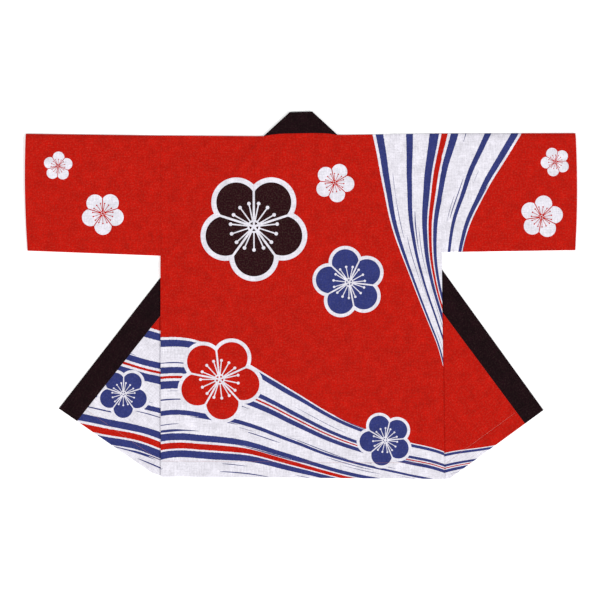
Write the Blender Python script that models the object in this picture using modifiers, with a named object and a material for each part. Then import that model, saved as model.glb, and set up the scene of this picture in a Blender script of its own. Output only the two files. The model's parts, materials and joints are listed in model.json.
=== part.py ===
"""A happi coat laid flat on a table with its back up, seen from above with the collar at the top.

The cloth lies in layers. The back is on top. Under each half of it lies the hidden part of a
front, which folds back on itself along a long crease between the hem's corner and the neck, so
that the rest of the front comes out past the side seam with its printed side up. Each sleeve is a
tube pressed flat. The collar is one strip: it crosses the back of the neck, folds down at both
neck corners and follows the edge of each front to its hem.

Every piece is first drawn flat, as it would be cut, and given the thickness of its cloth. Then each
of its points is laid in place by folds and slopes. X runs from cuff to cuff, Y from hem to collar
and Z up from the table. The origin is at the middle of the coat's outline, on the table.
"""

import math
from collections import namedtuple

import bmesh
import bpy
from mathutils import Vector

# Cloth, and the air between two layers or along a seam.
CLOTH = 0.001
GAP = 0.0003
LAYER = CLOTH + GAP

# A fold is a half round of cloth about the gap between its two layers.
FOLD_RADIUS = LAYER / 2
FOLD_LENGTH = math.pi * FOLD_RADIUS
FOLD_STEPS = 6

# The coat lies a little unevenly, so each half has its own lengths, in metres. Heights are along Y
# and widths are out from the middle, which is x = 0.
Half = namedtuple(
    "Half",
    "name sign hem_x hem_y arm_x shoulder_y armhole_y cuff_top_x cuff_low_x cuff_top_y cuff_low_y"
    " neck_x neck_y collar_x collar_y edge_tuck_y seam_tuck_y heel_x heel_y seam_x seam_y"
    " corner_x corner_y",
)
HALVES = (
    Half(
        name="left", sign=-1,
        hem_x=0.3267, hem_y=-0.4231, arm_x=0.3279, shoulder_y=0.3722, armhole_y=0.0928,
        cuff_top_x=0.6415, cuff_low_x=0.6377, cuff_top_y=0.3764, cuff_low_y=0.1046,
        neck_x=0.0860, neck_y=0.3707, collar_x=0.0254, collar_y=0.4265,
        edge_tuck_y=0.0416, seam_tuck_y=-0.0470, heel_x=0.3489, heel_y=-0.4135,
        seam_x=0.5226, seam_y=-0.2935, corner_x=0.5652, corner_y=-0.2641,
    ),
    Half(
        name="right", sign=1,
        hem_x=0.3339, hem_y=-0.4286, arm_x=0.3274, shoulder_y=0.3769, armhole_y=0.1013,
        cuff_top_x=0.6392, cuff_low_x=0.6391, cuff_top_y=0.3778, cuff_low_y=0.1058,
        neck_x=0.0836, neck_y=0.3735, collar_x=0.0243, collar_y=0.4279,
        edge_tuck_y=0.0609, seam_tuck_y=-0.0390, heel_x=0.3460, heel_y=-0.4277,
        seam_x=0.5221, seam_y=-0.2993, corner_x=0.5652, corner_y=-0.2679,
    ),
)
CUFF_BULGE = 0.0038
NECK_RISE_Y = 0.3772
NECK_STEPS = 10

# A front's hem starts at the side seam, this far above the hem of the back that covers it.
FRONT_HEM_UP = 0.002

# The long crease starts this far inside the hem's corner and passes this far under the point
# where the collar's outer edge turns down.
CREASE_INSET = 0.003
CREASE_UNDER_COLLAR = 0.010

# Cloth that lies over an edge comes down over a slope, which starts clear of that edge.
Slope = namedtuple("Slope", "clear length")
CREASE_SLOPE = Slope(clear=0.004, length=0.020)
FLAP_SLOPE = Slope(clear=0.0175, length=0.0070)
NECK_SLOPE_TOP = 0.290
NECK_SLOPE_LOW = 0.255

SLEEVE_STATIONS = 5
SLEEVE_STEPS = 8

RED = (0.523, 0.013, 0.008, 1.0)
BLACK = (0.020, 0.008, 0.010, 1.0)
COTTON_ROUGHNESS = 0.9


class Line:
    """A straight line on the table, and which side of it counts as beyond it."""

    def __init__(self, start, end, beyond):
        self.start = Vector(start)
        self.along = (Vector(end) - self.start).normalized()
        self.normal = Vector((self.along.y, -self.along.x))
        if (Vector(beyond) - self.start).dot(self.normal) < 0:
            self.normal.negate()

    def past(self, point):
        return (Vector(point[:2]) - self.start).dot(self.normal)

    def moved(self, point, distance):
        return Vector(point) + self.normal * distance

    def opened(self, point):
        """Where a point of the folded part lies once the fold is opened flat."""
        return self.moved(point, -2 * self.past(point) + FOLD_LENGTH)

    def shifted(self, distance):
        """The point and normal that a cut parallel to this line needs."""
        return self.moved(self.start, distance), self.normal


def share(value):
    return min(1.0, max(0.0, value))


def crease_of(half):
    """The fold of one front, from the hem's corner to the neck."""
    foot = (half.hem_x - CREASE_INSET, half.hem_y)
    top = (half.collar_x, half.collar_y - CREASE_UNDER_COLLAR)
    return Line(foot, top, beyond=(0, half.hem_y))


def neck_fold_of(half):
    """The slanted fold that turns the collar down at one corner of the neck."""
    return Line(
        (half.collar_x, half.collar_y),
        (half.neck_x, half.neck_y),
        beyond=(half.neck_x, half.collar_y),
    )


def flap_edge_of(half):
    """The collar's outer edge where it lies under the back."""
    crease = crease_of(half)
    top = crease.moved((half.collar_x, half.collar_y),
                       -2 * crease.past((half.collar_x, half.collar_y)))
    return Line(top, (half.arm_x, half.edge_tuck_y), beyond=(half.arm_x, half.shoulder_y))


def side_x(half, y):
    """The side of the body: straight down the armhole, then easing out to the hem's corner."""
    fall = share((half.armhole_y - y) / (half.armhole_y - half.hem_y))
    return half.arm_x + (half.hem_x - half.arm_x) * fall


def off_flap(half, point):
    """0 over the folded front and its collar, 1 where the cloth has come down beside them."""
    return share((flap_edge_of(half).past(point) - FLAP_SLOPE.clear) / FLAP_SLOPE.length)


def on_front(half, point):
    """1 over one front, 0 where the back has come down inside its crease."""
    return 1 - share((crease_of(half).past(point) - CREASE_SLOPE.clear) / CREASE_SLOPE.length)


def folded(line, point, under):
    """A fold under: what lies beyond the line turns over and lies below what came before it."""
    past = line.past(point)
    if past <= 0:
        return point
    turn = math.pi * share(past / FOLD_LENGTH)
    middle = under + LAYER - GAP / 2
    radius = point[2] - middle
    reach = radius * math.sin(turn) - max(0.0, past - FOLD_LENGTH)
    flat = line.moved(point[:2], reach - past)
    return Vector((flat.x, flat.y, middle + radius * math.cos(turn)))


def lay_front(half, flat):
    """Where a point of a front's flat cut ends up."""
    up = LAYER * (1 - off_flap(half, flat)) + flat.z
    return folded(crease_of(half), Vector((flat.x, flat.y, up)), under=0)


def lay_back(flat):
    """Where a point of the back ends up: over both fronts, and on the table between them."""
    raised = share((flat.y - NECK_SLOPE_LOW) / (NECK_SLOPE_TOP - NECK_SLOPE_LOW))
    dropped = 0.0
    for half in HALVES:
        own = Vector((flat.x * half.sign, flat.y))
        raised = max(raised, on_front(half, own))
        dropped += off_flap(half, own)
    up = LAYER * (2 * raised - dropped) + flat.z
    return Vector((flat.x, flat.y, up))


def lay_collar(flat):
    """Where a point of the collar ends up: over the neck, down at its corner, then flipped."""
    half = HALVES[0] if flat.x < 0 else HALVES[1]
    neck_fold = neck_fold_of(half)
    point = Vector((flat.x * half.sign, flat.y, 2 * LAYER + flat.z))
    turned = folded(neck_fold, point, under=LAYER)
    if neck_fold.past(point) > FOLD_LENGTH:
        turned = folded(crease_of(half), turned, under=0)
    return Vector((turned.x * half.sign, turned.y, turned.z))


def front_hem(half):
    """A front's hem in its flat cut: the side seam, the heel, the collar's seam and its corner.

    The heel is where the laid hem leaves the hem of the back and turns up beside it.
    """
    crease = crease_of(half)
    return [
        Vector((half.hem_x, half.hem_y + FRONT_HEM_UP)),
        crease.opened((half.heel_x, half.heel_y)),
        crease.opened((half.seam_x, half.seam_y)),
        crease.opened((half.corner_x, half.corner_y)),
    ]


def neck_curve(lift):
    """The seam at the back of the neck, from left to right, moved up by lift."""
    left, right = HALVES
    points = []
    for i in range(NECK_STEPS + 1):
        part = i / NECK_STEPS
        x = -left.neck_x + (left.neck_x + right.neck_x) * part
        ends = left.neck_y + (right.neck_y - left.neck_y) * part
        middle = (left.neck_y + right.neck_y) / 2
        rise = 1 - (2 * part - 1) ** 4
        points.append(Vector((x, ends + (NECK_RISE_Y - middle) * rise + lift)))
    return points


def cloth(outline, cuts):
    """A flat piece of cloth on the table, divided along each cut, which is a point and a normal."""
    mesh = bmesh.new()
    mesh.faces.new([mesh.verts.new((p[0], p[1], 0)) for p in outline])
    for point, normal in cuts:
        bmesh.ops.bisect_plane(
            mesh,
            geom=mesh.verts[:] + mesh.edges[:] + mesh.faces[:],
            dist=1e-6,
            plane_co=(point[0], point[1], 0),
            plane_no=(normal[0], normal[1], 0),
        )
    bmesh.ops.triangulate(mesh, faces=mesh.faces[:])
    upper = bmesh.ops.extrude_face_region(mesh, geom=mesh.faces[:], use_keep_orig=True)
    raised = [item for item in upper["geom"] if isinstance(item, bmesh.types.BMVert)]
    bmesh.ops.translate(mesh, verts=raised, vec=(0, 0, CLOTH))
    bmesh.ops.recalc_face_normals(mesh, faces=mesh.faces[:])
    return mesh


def cotton(name, colour):
    material = bpy.data.materials.new(name)
    material.use_nodes = True
    surface = material.node_tree.nodes["Principled BSDF"]
    surface.inputs["Base Color"].default_value = colour
    surface.inputs["Roughness"].default_value = COTTON_ROUGHNESS
    material.diffuse_color = colour
    return material


def piece(name, mesh, colour):
    """Turns a finished mesh into a named piece of the coat."""
    if mesh.calc_volume(signed=True) < 0:
        bmesh.ops.reverse_faces(mesh, faces=mesh.faces[:])
    data = bpy.data.meshes.new(name)
    mesh.to_mesh(data)
    mesh.free()
    obj = bpy.data.objects.new(name, data)
    PARTS.objects.link(obj)
    data.materials.append(cotton(name + "_cotton", colour))
    return obj


def mirrored(points, sign):
    return [Vector((p[0] * sign, p[1])) for p in points]


def fold_cuts(line, sign):
    """Cuts across a fold, close enough together to round it."""
    cuts = []
    for step in range(FOLD_STEPS + 1):
        point, normal = line.shifted(FOLD_LENGTH * step / FOLD_STEPS)
        cuts.append(((point.x * sign, point.y), (normal.x * sign, normal.y)))
    return cuts


def slope_cuts(line, slope, sign):
    """Cuts at the top and the foot of the slope beyond a line."""
    cuts = []
    for distance in (slope.clear, slope.clear + slope.length):
        point, normal = line.shifted(distance)
        cuts.append(((point.x * sign, point.y), (normal.x * sign, normal.y)))
    return cuts


def build_back():
    """The back panel, from its hem to the shoulders and the seam at the back of the neck."""
    outline = neck_curve(lift=0)
    cuts = [((0, NECK_SLOPE_TOP), (0, 1)), ((0, NECK_SLOPE_LOW), (0, 1))]
    corners = {}
    for half in HALVES:
        corners[half.name] = mirrored(
            [
                (half.arm_x, half.shoulder_y),
                (half.arm_x, half.armhole_y),
                (half.hem_x, half.hem_y),
            ],
            half.sign,
        )
        cuts += slope_cuts(crease_of(half), CREASE_SLOPE, half.sign)
        cuts += slope_cuts(flap_edge_of(half), FLAP_SLOPE, half.sign)
    outline += corners["right"] + corners["left"][::-1]
    mesh = cloth(outline, cuts)
    for vert in mesh.verts:
        vert.co = lay_back(vert.co.copy())
    return piece("back", mesh, RED)


def build_front(half):
    """One front: its hidden part under the back, its crease, and its flap past the side seam."""
    crease = crease_of(half)
    hem = front_hem(half)[:3]
    side_seam = Vector((side_x(half, half.seam_tuck_y), half.seam_tuck_y))
    aside = Vector((GAP, 0))
    outline = hem[:-1] + [
        hem[-1] + aside,
        crease.opened(side_seam) + aside,
        Vector((half.neck_x, half.neck_y)) + aside,
        (half.arm_x, half.shoulder_y),
        (half.arm_x, half.armhole_y),
    ]
    cuts = fold_cuts(crease, sign=1) + slope_cuts(flap_edge_of(half), FLAP_SLOPE, sign=1)
    mesh = cloth(outline, cuts)
    for vert in mesh.verts:
        vert.co = lay_front(half, vert.co.copy())
        vert.co.x *= half.sign
    return piece("front_" + half.name, mesh, RED)


def build_collar():
    """The collar: one strip, drawn straight across the neck and folded at each neck corner."""
    arms = {}
    cuts = []
    for half in HALVES:
        crease = crease_of(half)
        neck_fold = neck_fold_of(half)
        hem = front_hem(half)[2:]
        outer = Vector((side_x(half, half.edge_tuck_y), half.edge_tuck_y))
        inner = Vector((side_x(half, half.seam_tuck_y), half.seam_tuck_y))
        down = [(half.neck_x, half.neck_y), crease.opened(inner)] + hem
        down += [crease.opened(outer), (half.collar_x, half.collar_y)]
        arm = [neck_fold.opened(point) for point in down]
        arm.append(Vector((half.collar_x, half.collar_y)))
        arms[half.name] = mirrored(arm, half.sign)
        cuts += fold_cuts(neck_fold, half.sign)
        for point, normal in fold_cuts(crease, sign=1):
            # The crease is met only after the neck's fold, so its cuts are drawn opened too.
            near = neck_fold.opened(point)
            far = neck_fold.opened(Vector(point) + crease.along)
            along = far - near
            cuts.append(((near.x * half.sign, near.y), (-along.y * half.sign, along.x)))
    outline = neck_curve(lift=GAP) + arms["right"] + arms["left"][::-1]
    mesh = cloth(outline, cuts)
    for vert in mesh.verts:
        vert.co = lay_collar(vert.co.copy())
    return piece("collar", mesh, BLACK)


def cuff_x(half, y):
    """The cuff's edge, which bulges a little between its two ends."""
    part = share((y - half.cuff_low_y) / (half.cuff_top_y - half.cuff_low_y))
    straight = half.cuff_low_x + (half.cuff_top_x - half.cuff_low_x) * part
    return straight + CUFF_BULGE * 4 * part * (1 - part)


def sleeve_section(step, low, top):
    """A point of a tube pressed flat: round at its two folds and straight between them."""
    inner_low = low + FOLD_RADIUS
    inner_top = top - FOLD_RADIUS
    if step <= FOLD_STEPS:
        turn = math.pi * step / FOLD_STEPS
        return inner_top + FOLD_RADIUS * math.sin(turn), FOLD_RADIUS * math.cos(turn)
    step -= FOLD_STEPS
    if step <= SLEEVE_STEPS:
        return inner_top + (inner_low - inner_top) * step / SLEEVE_STEPS, -FOLD_RADIUS
    step -= SLEEVE_STEPS
    if step <= FOLD_STEPS:
        turn = math.pi * step / FOLD_STEPS
        return inner_low - FOLD_RADIUS * math.sin(turn), -FOLD_RADIUS * math.cos(turn)
    step -= FOLD_STEPS
    return inner_low + (inner_top - inner_low) * step / SLEEVE_STEPS, FOLD_RADIUS


def build_sleeve(half):
    """One sleeve: a cylinder pressed flat, from the armhole's seam to the cuff."""
    around = 2 * (FOLD_STEPS + SLEEVE_STEPS)
    mesh = bmesh.new()
    bmesh.ops.create_cone(
        mesh, cap_ends=False, segments=around, radius1=1, radius2=1, depth=1
    )
    for station in range(1, SLEEVE_STATIONS):
        bmesh.ops.bisect_plane(
            mesh,
            geom=mesh.verts[:] + mesh.edges[:] + mesh.faces[:],
            plane_co=(0, 0, station / SLEEVE_STATIONS - 0.5),
            plane_no=(0, 0, 1),
        )
    for vert in mesh.verts:
        out = vert.co.z + 0.5
        step = round(math.atan2(vert.co.y, vert.co.x) / (2 * math.pi) * around) % around
        low = half.armhole_y + (half.cuff_low_y - half.armhole_y) * out
        top = half.shoulder_y + (half.cuff_top_y - half.shoulder_y) * out
        y, rise = sleeve_section(step, low - CLOTH / 2, top - CLOTH / 2)
        start = half.arm_x + GAP
        x = start + (cuff_x(half, y) - start) * out
        vert.co = (x * half.sign, y, LAYER - GAP / 2 + rise)
    sleeve = piece("sleeve_" + half.name, mesh, RED)
    wall = sleeve.modifiers.new("Cloth thickness", "SOLIDIFY")
    wall.thickness = CLOTH
    wall.offset = 0
    wall.use_even_offset = True
    return sleeve


for old in list(bpy.data.objects):
    bpy.data.objects.remove(old)
PARTS = bpy.data.collections.new("happi_coat")
bpy.context.scene.collection.children.link(PARTS)

build_back()
build_collar()
for side in HALVES:
    build_front(side)
    build_sleeve(side)
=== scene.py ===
# %% [markdown]
# # A happi coat laid flat, back up
#
# A happi is a straight-cut cotton coat that people wear at festivals. Every piece of it is a
# rectangle or nearly so: a back, two fronts, two sleeves pressed flat like envelopes, and one long
# black collar. Here it lies on a pale floor with its back up, and both fronts are folded out past
# the side seams.
#
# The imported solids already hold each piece's size and place. This lesson keeps that frame and
# dresses it: thin shells on the form of the solids, soft creases, a printed cotton and stitches.

# %% Load the fixed frame
import json
import math
from collections import namedtuple

import bpy
import numpy as np
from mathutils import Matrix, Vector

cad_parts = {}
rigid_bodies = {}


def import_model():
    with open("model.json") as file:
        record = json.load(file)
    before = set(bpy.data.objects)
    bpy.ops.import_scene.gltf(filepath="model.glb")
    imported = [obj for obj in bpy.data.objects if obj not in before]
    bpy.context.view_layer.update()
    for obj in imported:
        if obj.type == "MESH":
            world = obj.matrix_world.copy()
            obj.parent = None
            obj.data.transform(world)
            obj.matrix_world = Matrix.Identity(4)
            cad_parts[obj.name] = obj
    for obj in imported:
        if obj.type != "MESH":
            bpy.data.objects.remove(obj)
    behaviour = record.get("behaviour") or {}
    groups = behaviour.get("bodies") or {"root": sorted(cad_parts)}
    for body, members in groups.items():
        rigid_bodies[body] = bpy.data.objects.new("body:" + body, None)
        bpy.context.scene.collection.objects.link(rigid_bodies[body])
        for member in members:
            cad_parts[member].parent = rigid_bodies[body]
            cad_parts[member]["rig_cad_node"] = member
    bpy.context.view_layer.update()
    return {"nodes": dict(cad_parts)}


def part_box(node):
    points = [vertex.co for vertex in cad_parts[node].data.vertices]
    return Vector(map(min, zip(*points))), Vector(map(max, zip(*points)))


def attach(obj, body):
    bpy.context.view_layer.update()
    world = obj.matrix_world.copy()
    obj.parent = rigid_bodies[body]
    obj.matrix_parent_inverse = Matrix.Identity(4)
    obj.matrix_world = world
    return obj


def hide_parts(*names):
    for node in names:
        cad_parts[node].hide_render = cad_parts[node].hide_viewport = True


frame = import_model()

for name, node in sorted(frame["nodes"].items()):
    print(name, len(node.data.polygons), "triangles")

# %% [markdown]
# ## The view
#
# The picture is a catalogue shot from straight above. A camera far above the floor with a long lens
# shows the coat with almost no perspective, as such shots do. Its height and lens follow from the
# width of floor that has to fill the frame.

# %% Camera
FRAME_WIDTH = 1.3992
FRAME_CENTRE = (-0.0026, -0.0112)
CAMERA_HEIGHT = 3.0
SENSOR = 36.0

camera_data = bpy.data.cameras.new("overhead")
camera_data.sensor_width = SENSOR
camera_data.lens = SENSOR * CAMERA_HEIGHT / FRAME_WIDTH
camera = bpy.data.objects.new("overhead", camera_data)
camera.location = (*FRAME_CENTRE, CAMERA_HEIGHT)
bpy.context.scene.collection.objects.link(camera)
bpy.context.scene.camera = camera
print("lens", round(camera_data.lens, 1), "mm")

# %% [markdown]
# ## Floor and light
#
# The floor is pale and plain, so that the red stands out, and it has to be equally bright all over.
# A lamp near the floor always leaves a bright patch. A sun doesn't, because its rays are parallel,
# and a wide one casts shadows as soft as those of a large softbox. Two of them stand low, left and
# right of the hem, as beside a copy stand, because light from straight above would hide the creases
# of cloth that lies flat. Each draws a thin shadow along the far edge of the back, and both leave
# the rolled tops of the sleeves darker. A white sky fills the shadows. The plain view transform
# keeps the dyes as strong as they are in the cloth.

# %% Helpers that work like a hand on the mouse
def deselect_all():
    bpy.ops.object.select_all(action="DESELECT")


def set_mode(mode):
    bpy.ops.object.mode_set(mode=mode)


def take(piece):
    """Makes one object the only one that the next operators act on."""
    deselect_all()
    piece.select_set(True)
    bpy.context.view_layer.objects.active = piece
    return piece


deselect_all()
print("objects still selected:", len(bpy.context.selected_objects))

# %% Floor, sky and lamps
FLOOR_SIZE = 60.0
FLOOR_DROP = 0.0004
SKY = 0.43
Lamp = namedtuple("Lamp", "name place width strength")
LAMPS = (
    Lamp("right", (2.8, -1.6, 2.0), 12, 2.40),
    Lamp("left", (-2.8, -1.6, 2.0), 12, 1.55),
)

bpy.ops.mesh.primitive_plane_add(size=FLOOR_SIZE, location=(0, 0, -FLOOR_DROP))
floor = bpy.context.object
floor.name = "floor"
bpy.ops.object.transform_apply()

world = bpy.data.worlds.new("studio")
bpy.context.scene.world = world
world.use_nodes = True
sky = world.node_tree.nodes["Background"]
sky.inputs["Color"].default_value = (1, 1, 1, 1)
sky.inputs["Strength"].default_value = SKY
bpy.context.scene.view_settings.view_transform = "Standard"


def hang_lamp(lamp):
    bpy.ops.object.light_add(type="SUN", location=lamp.place)
    light = bpy.context.object
    light.name = lamp.name
    light.data.energy = lamp.strength
    light.data.angle = math.radians(lamp.width)
    aim = -light.location
    light.rotation_euler = aim.to_track_quat("-Z", "Y").to_euler()
    print(lamp.name, "is", lamp.width, "degrees wide")


for lamp in LAMPS:
    hang_lamp(lamp)
deselect_all()

# %% [markdown]
# ## How each half lies
#
# The shells take their form from the solids, but the print and the creases need to know how each
# front was folded. So the same few sizes are named here: the side of the body, and the crease that
# turns a front out, from the hem's corner to the neck. Widths are out from the middle.

# %% Sizes of the two halves
CLOTH = 0.001
LAYER = 0.0013
FOLD_LENGTH = math.pi * LAYER / 2
CREASE_INSET = 0.003
CREASE_UNDER_COLLAR = 0.010

# Each name with its value on the left half and on the right one.
SIDES = {
    "name": ("left", "right"), "sign": (-1, 1),
    "hem_x": (0.3267, 0.3339), "hem_y": (-0.4231, -0.4286),
    "arm_x": (0.3279, 0.3274), "armhole_y": (0.0928, 0.1013),
    "shoulder_y": (0.3722, 0.3769), "cuff_top_y": (0.3764, 0.3778),
    "collar_x": (0.0254, 0.0243), "collar_y": (0.4265, 0.4279),
    "neck_x": (0.0860, 0.0836), "neck_y": (0.3707, 0.3735),
    "heel_x": (0.3489, 0.3460), "heel_y": (-0.4135, -0.4277),
    "seam_x": (0.5226, 0.5221), "seam_y": (-0.2935, -0.2993),
    "edge_tuck_y": (0.0416, 0.0609), "seam_tuck_y": (-0.0470, -0.0390),
}
Half = namedtuple("Half", SIDES)
HALVES = [Half(*values) for values in zip(*SIDES.values())]


def line_between(start, end, up=None):
    """A line's start, its direction and the direction square to it, as arrays.

    Where up is given, the last one points up that axis: 0 is X and 1 is Y.
    """
    start = np.array(start, float)
    along = np.array(end, float) - start
    along /= np.linalg.norm(along)
    across = np.array((-along[1], along[0]))
    if up is not None and across[up] < 0:
        across = -across
    return start, along, across


def crease_of(half):
    """The long fold of a front, and the direction towards the flap that it turns out."""
    foot = (half.hem_x - CREASE_INSET, half.hem_y)
    top = (half.collar_x, half.collar_y - CREASE_UNDER_COLLAR)
    return line_between(foot, top, up=0)


def unfolded(points, fold):
    """Where points beyond a fold would lie if it was opened flat."""
    start, along, across = fold
    past = (points - start) @ across
    return points - np.outer(2 * past - FOLD_LENGTH, across)


for half in HALVES:
    direction = crease_of(half)[1]
    lean = math.degrees(math.atan2(-direction[0], direction[1]))
    print(half.name, "crease leans", round(lean, 1), "degrees")

# %% Stitch lines of the hems
HEM_DEPTH = 0.037
FLAP_HEM_DEPTH = 0.034
STITCH_MARGIN = 0.004


def back_stitch_line():
    """From the left end of the back's row of stitches to its right end."""
    left, right = HALVES
    return (
        (STITCH_MARGIN - left.hem_x, left.hem_y + HEM_DEPTH),
        (right.hem_x - STITCH_MARGIN, right.hem_y + HEM_DEPTH),
    )


def collar_seam(half):
    """The seam between a turned-out front and its collar, from the hem up."""
    return line_between((half.seam_x, half.seam_y), (half.arm_x, half.seam_tuck_y), up=0)


def flap_stitch_line(half):
    """From the side of the body to the collar's seam, with x out from the middle."""
    heel, along, inward = line_between((half.heel_x, half.heel_y), (half.seam_x, half.seam_y))
    near = heel + inward * FLAP_HEM_DEPTH
    seam, seam_along, seam_across = collar_seam(half)
    reach = (seam - near) @ seam_across / (along @ seam_across)
    begin = near + along * (half.hem_x + STITCH_MARGIN - near[0]) / along[0]
    return tuple(begin), tuple(near + along * (reach - STITCH_MARGIN))


print("back stitches run", round(math.dist(*back_stitch_line()), 3), "m")

# %% [markdown]
# ## Shells on the solids
#
# Each piece of cloth is a copy of its solid. The solid's triangles are loose, so a copy is merged
# first and its flat faces are dissolved to clean outlines. Its rims get a small bevel, because a
# hem or a pressed edge is round. Then it is cut by a grid of planes, the way a baker scores dough.
# The small cells give the cloth enough points to crease. All pieces share one grid, so layers that
# lie on each other bend alike and never pass through each other. Three more cuts follow each row of
# stitches, where the cloth will sink.

# %% Copy, merge and score
CELL = 0.007
MERGE = 0.00002
FLAT_ANGLE = math.radians(0.3)
CUT_THRESHOLD = 0.00001
RIM_ANGLE = math.radians(60)
RIM_BEVEL = 0.0003
SEWN_WIDTH = 0.001


def merged_copy(node, name):
    """A copy of a solid, with its loose triangles joined to clean faces."""
    take(frame["nodes"][node])
    bpy.ops.object.duplicate()
    piece = take(bpy.context.view_layer.objects.active)
    piece.name = name
    del piece["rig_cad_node"]
    bpy.ops.mesh.customdata_custom_splitnormals_clear()
    set_mode("EDIT")
    bpy.ops.mesh.select_all(action="SELECT")
    bpy.ops.mesh.remove_doubles(threshold=MERGE)
    bpy.ops.mesh.dissolve_limited(angle_limit=FLAT_ANGLE)
    set_mode("OBJECT")
    return piece


def soften_rims(piece):
    """Rounds every edge where the cloth ends."""
    take(piece)
    set_mode("EDIT")
    bpy.ops.mesh.select_mode(type="EDGE")
    bpy.ops.mesh.select_all(action="DESELECT")
    bpy.ops.mesh.edges_select_sharp(sharpness=RIM_ANGLE)
    bpy.ops.mesh.bevel(offset=RIM_BEVEL, segments=2, clamp_overlap=False)
    bpy.ops.mesh.select_mode(type="VERT")
    set_mode("OBJECT")


def score(piece, planes):
    """Cuts a piece along planes, each a point and a normal, and keeps both sides."""
    take(piece)
    set_mode("EDIT")
    for point, normal in planes:
        bpy.ops.mesh.select_all(action="SELECT")
        bpy.ops.mesh.bisect(plane_co=point, plane_no=normal, threshold=CUT_THRESHOLD)
    set_mode("OBJECT")


def grid_planes(node):
    """Every plane of the shared grid that crosses this node."""
    low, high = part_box(node)
    planes = []
    for axis, normal in ((0, (1, 0, 0)), (1, (0, 1, 0))):
        for step in range(math.ceil(low[axis] / CELL), math.floor(high[axis] / CELL) + 1):
            planes.append((tuple(step * CELL * n for n in normal), normal))
    return planes


def stitch_planes(start, end, sign=1):
    """Three planes along a row of stitches: beside it, through it and beside it again."""
    start, along, across = line_between(start, end)
    normal = (across[0] * sign, across[1], 0)
    planes = []
    for offset in (-SEWN_WIDTH, 0, SEWN_WIDTH):
        x, y = start + across * offset
        planes.append(((x * sign, y, 0), normal))
    return planes


def shell(node, stitches=()):
    """The cloth that stands for one solid."""
    piece = merged_copy(node, node + "_cloth")
    soften_rims(piece)
    score(piece, grid_planes(node) + list(stitches))
    print(piece.name, len(piece.data.polygons), "faces")
    return piece


back = shell("back", stitch_planes(*back_stitch_line()))
collar = shell("collar")
fronts = {
    half.name: shell("front_" + half.name, stitch_planes(*flap_stitch_line(half), half.sign))
    for half in HALVES
}
sleeves = {half.name: shell("sleeve_" + half.name) for half in HALVES}

# %% [markdown]
# ## Where each point was on the printed cloth
#
# The print and the weave belong to the cloth and not to the floor. So each point carries a place on
# the printed cloth, in metres, as an attribute. On the back it is simply where the point lies. A
# sleeve's lower layer continues over the top fold. A front continues round the side seam, and the
# flap is unfolded across its crease first, so its weave and print turn with it. A second attribute
# tells the printed side of the cloth from its paler wrong side.

# %% Read and write a piece's points
def rows_of(items, name):
    """One vector of each point or face, as rows."""
    flat = np.empty(len(items) * 3, np.float32)
    items.foreach_get(name, flat)
    return flat.reshape(-1, 3).astype(float)


def points_of(piece):
    return rows_of(piece.data.vertices, "co")


def put_points(piece, points):
    piece.data.vertices.foreach_set("co", points.astype(np.float32).ravel())
    piece.data.update()


def faces_of(piece):
    """The middle and the normal of each face."""
    return rows_of(piece.data.polygons, "center"), rows_of(piece.data.polygons, "normal")


def write_print_place(piece, x, y):
    attribute = piece.data.attributes.new("print_place", "FLOAT_VECTOR", "POINT")
    place = np.stack((x, y, np.zeros_like(x)), axis=1).astype(np.float32)
    attribute.data.foreach_set("vector", place.ravel())


def write_wrong_side(piece, wrong):
    attribute = piece.data.attributes.new("wrong_side", "FLOAT", "FACE")
    attribute.data.foreach_set("value", wrong.astype(np.float32))


print("the back has", len(points_of(back)), "points")

# %% Place on the print, piece by piece
SLEEVE_MISMATCH = 0.0045
BETWEEN_LAYERS = 0.00115
BELOW_TOP_LAYER = 2 * LAYER - CLOTH / 4
FACING = 0.3


def side_x(half, y):
    """The side of the body: straight down the armhole, then easing out to the hem's corner."""
    fall = np.clip((half.armhole_y - y) / (half.armhole_y - half.hem_y), 0, 1)
    return half.arm_x + (half.hem_x - half.arm_x) * fall


def crease_mirror(half):
    """The collar's top corner, seen in the crease as in a mirror: there the flap's edge starts."""
    start, along, across = crease_of(half)
    corner = np.array((half.collar_x, half.collar_y))
    return corner - 2 * ((corner - start) @ across) * across


def is_flap(half, points):
    """True for the part of a front or its collar that was turned out, the lowest layer."""
    tuck = (half.arm_x, half.edge_tuck_y)
    start, along, outward = line_between(crease_mirror(half), tuck, up=1)
    beside = (points[:, :2] * (half.sign, 1) - start) @ outward
    return (points[:, 2] < BETWEEN_LAYERS) & (beside < CLOTH)


def mark_back(piece):
    points = points_of(piece)
    write_print_place(piece, points[:, 0], points[:, 1])
    normals = faces_of(piece)[1]
    write_wrong_side(piece, normals[:, 2] < -FACING)


def mark_front(piece, half):
    points = points_of(piece)
    flat = points[:, :2] * (half.sign, 1)
    flap = is_flap(half, points)
    flat[flap] = unfolded(flat[flap], crease_of(half))
    write_print_place(piece, half.sign * (2 * side_x(half, flat[:, 1]) - flat[:, 0]), flat[:, 1])
    middles, normals = faces_of(piece)
    turned = is_flap(half, middles)
    up = np.where(turned, normals[:, 2], -normals[:, 2])
    write_wrong_side(piece, up < -FACING)


def mark_sleeve(piece, half):
    points = points_of(piece)
    x = points[:, 0]
    share = (np.abs(x) - half.arm_x) / (np.abs(x).max() - half.arm_x)
    top = half.shoulder_y + (half.cuff_top_y - half.shoulder_y) * share
    y = np.where(points[:, 2] < BETWEEN_LAYERS, 2 * top - points[:, 1], points[:, 1])
    write_print_place(piece, x, y - SLEEVE_MISMATCH)
    middles, normals = faces_of(piece)
    outward = np.where(middles[:, 2] < BETWEEN_LAYERS, -normals[:, 2], normals[:, 2])
    write_wrong_side(piece, outward < -FACING)


def neck_fold_of(half):
    """The slanted fold that turns the collar down at a corner of the neck."""
    return line_between((half.collar_x, half.collar_y), (half.neck_x, half.neck_y), up=1)


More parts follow.
